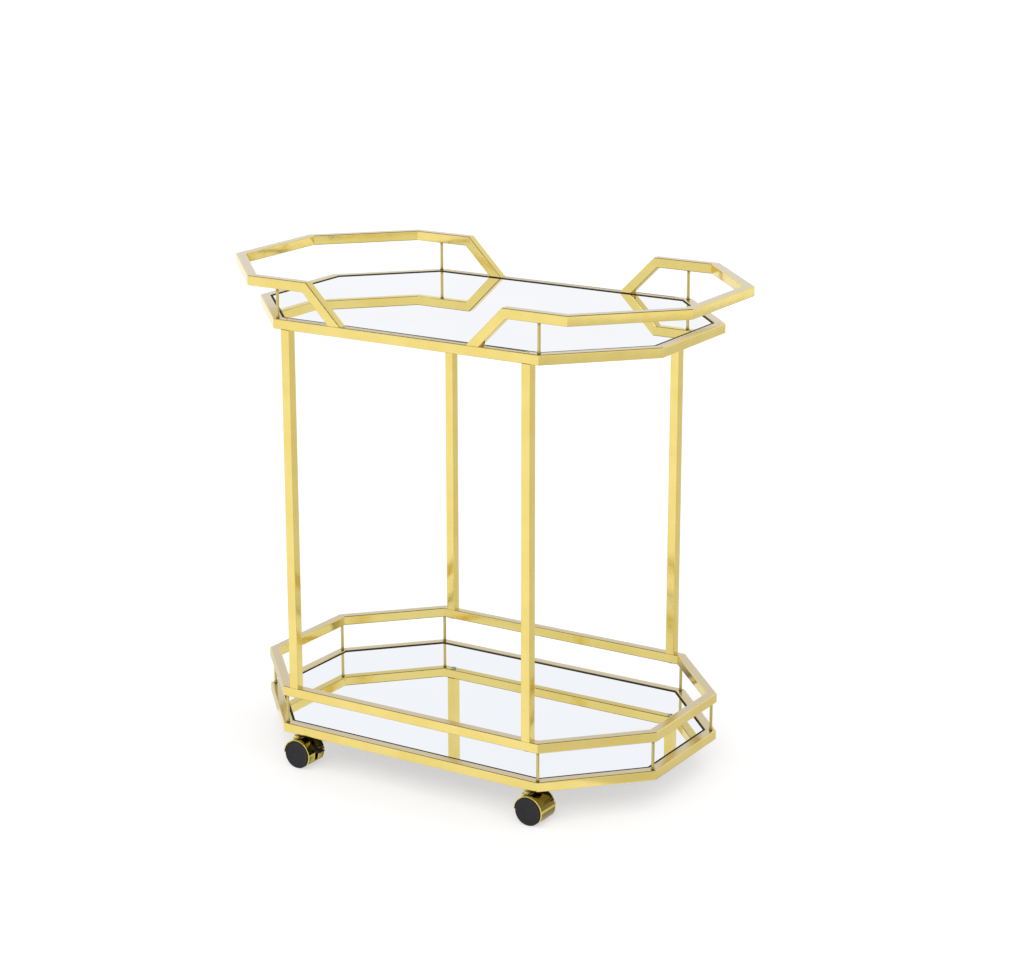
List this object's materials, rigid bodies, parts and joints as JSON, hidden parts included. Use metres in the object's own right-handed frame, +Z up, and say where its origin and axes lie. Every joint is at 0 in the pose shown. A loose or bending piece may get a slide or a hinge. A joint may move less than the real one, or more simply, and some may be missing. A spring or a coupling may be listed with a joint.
{
  "type": "bar cart",
  "caption": "Octagonal two-tier bar cart in polished gold square tube with mirrored trays, raised handle rails, a lower gallery and hooded twin-wheel casters.",
  "frame": {"origin": "on the floor, under the middle of the cart", "axes": "+X along the cart's length towards the end away from the braked casters, +Y towards its back, +Z up"},
  "size_m": [0.838, 0.505, 0.799],
  "materials": {
    "gold_plate": "polished brass-gold plating on steel tube",
    "gold_hood": "polished gold plating on a cast caster body",
    "zinc_steel": "zinc-plated steel",
    "mirror_glass": "clear silvered mirror",
    "black_seal": "matt black seal strip",
    "backing_board": "black-sealed fibreboard",
    "black_nylon": "satin moulded nylon"
  },
  "bodies": {
    "root": {"back_left_leg": "gold_plate", "back_right_leg": "gold_plate", "caster_sockets": "zinc_steel", "caster_stems": "zinc_steel", "front_left_leg": "gold_plate", "front_right_leg": "gold_plate", "gallery_corner_rails": "gold_plate", "gallery_end_rails": "gold_plate", "gallery_side_rails": "gold_plate", "gallery_spindles": "gold_plate", "handle_spindles": "gold_plate", "left_handle_corner_bars": "gold_plate", "left_handle_end_bar": "gold_plate", "left_handle_side_bars": "gold_plate", "left_handle_sloping_feet": "gold_plate", "leg_thread_inserts": "zinc_steel", "lower_backing_board": "backing_board", "lower_leg_screws": "zinc_steel", "lower_mirror": "mirror_glass", "lower_mirror_seal": "black_seal", "lower_support_tabs": "gold_plate", "lower_tray_corner_rails": "gold_plate", "lower_tray_end_rails": "gold_plate", "lower_tray_side_rails": "gold_plate", "right_handle_corner_bars": "gold_plate", "right_handle_end_bar": "gold_plate", "right_handle_side_bars": "gold_plate", "right_handle_sloping_feet": "gold_plate", "upper_backing_board": "backing_board", "upper_leg_screws": "gold_plate", "upper_mirror": "mirror_glass", "upper_mirror_seal": "black_seal", "upper_support_tabs": "gold_plate", "upper_tray_corner_rails": "gold_plate", "upper_tray_end_rails": "gold_plate", "upper_tray_side_rails": "gold_plate"},
    "front_left_swivel": {"front_left_brake_pin": "zinc_steel", "front_left_caster_axle": "zinc_steel", "front_left_caster_hood": "gold_hood"},
    "front_right_swivel": {"front_right_caster_axle": "zinc_steel", "front_right_caster_hood": "gold_hood"},
    "back_left_swivel": {"back_left_brake_pin": "zinc_steel", "back_left_caster_axle": "zinc_steel", "back_left_caster_hood": "gold_hood"},
    "back_right_swivel": {"back_right_caster_axle": "zinc_steel", "back_right_caster_hood": "gold_hood"},
    "back_left_back_wheel": {"back_left_back_wheel": "black_nylon"},
    "back_left_brake_lever": {"back_left_brake_lever": "black_nylon"},
    "back_left_front_wheel": {"back_left_front_wheel": "black_nylon"},
    "back_right_back_wheel": {"back_right_back_wheel": "black_nylon"},
    "back_right_front_wheel": {"back_right_front_wheel": "black_nylon"},
    "front_left_back_wheel": {"front_left_back_wheel": "black_nylon"},
    "front_left_brake_lever": {"front_left_brake_lever": "black_nylon"},
    "front_left_front_wheel": {"front_left_front_wheel": "black_nylon"},
    "front_right_back_wheel": {"front_right_back_wheel": "black_nylon"},
    "front_right_front_wheel": {"front_right_front_wheel": "black_nylon"}
  },
  "joints": [
    {"name": "front_left_swivel_turn", "type": "hinge", "parent": "root", "child": "front_left_swivel", "pos_m": [-0.2185, -0.231, 0.04], "axis": [0, 0, 1], "continuous": true},
    {"name": "front_left_front_wheel_roll", "type": "hinge", "parent": "front_left_swivel", "child": "front_left_front_wheel", "pos_m": [-0.206, -0.231, 0.023], "axis": [0, 1, 0], "continuous": true},
    {"name": "front_left_back_wheel_roll", "type": "hinge", "parent": "front_left_swivel", "child": "front_left_back_wheel", "pos_m": [-0.206, -0.231, 0.023], "axis": [0, 1, 0], "continuous": true},
    {"name": "front_left_brake_press", "type": "hinge", "parent": "front_left_swivel", "child": "front_left_brake_lever", "pos_m": [-0.1925, -0.231, 0.032], "axis": [0, 1, 0], "range_deg": [0, 14]},
    {"name": "front_right_swivel_turn", "type": "hinge", "parent": "root", "child": "front_right_swivel", "pos_m": [0.2185, -0.231, 0.04], "axis": [0, 0, 1], "continuous": true},
    {"name": "front_right_front_wheel_roll", "type": "hinge", "parent": "front_right_swivel", "child": "front_right_front_wheel", "pos_m": [0.231, -0.231, 0.023], "axis": [0, 1, 0], "continuous": true},
    {"name": "front_right_back_wheel_roll", "type": "hinge", "parent": "front_right_swivel", "child": "front_right_back_wheel", "pos_m": [0.231, -0.231, 0.023], "axis": [0, 1, 0], "continuous": true},
    {"name": "back_left_swivel_turn", "type": "hinge", "parent": "root", "child": "back_left_swivel", "pos_m": [-0.2185, 0.231, 0.04], "axis": [0, 0, 1], "continuous": true},
    {"name": "back_left_front_wheel_roll", "type": "hinge", "parent": "back_left_swivel", "child": "back_left_front_wheel", "pos_m": [-0.206, 0.231, 0.023], "axis": [0, 1, 0], "continuous": true},
    {"name": "back_left_back_wheel_roll", "type": "hinge", "parent": "back_left_swivel", "child": "back_left_back_wheel", "pos_m": [-0.206, 0.231, 0.023], "axis": [0, 1, 0], "continuous": true},
    {"name": "back_left_brake_press", "type": "hinge", "parent": "back_left_swivel", "child": "back_left_brake_lever", "pos_m": [-0.1925, 0.231, 0.032], "axis": [0, 1, 0], "range_deg": [0, 14]},
    {"name": "back_right_swivel_turn", "type": "hinge", "parent": "root", "child": "back_right_swivel", "pos_m": [0.2185, 0.231, 0.04], "axis": [0, 0, 1], "continuous": true},
    {"name": "back_right_front_wheel_roll", "type": "hinge", "parent": "back_right_swivel", "child": "back_right_front_wheel", "pos_m": [0.231, 0.231, 0.023], "axis": [0, 1, 0], "continuous": true},
    {"name": "back_right_back_wheel_roll", "type": "hinge", "parent": "back_right_swivel", "child": "back_right_back_wheel", "pos_m": [0.231, 0.231, 0.023], "axis": [0, 1, 0], "continuous": true}
  ]
}
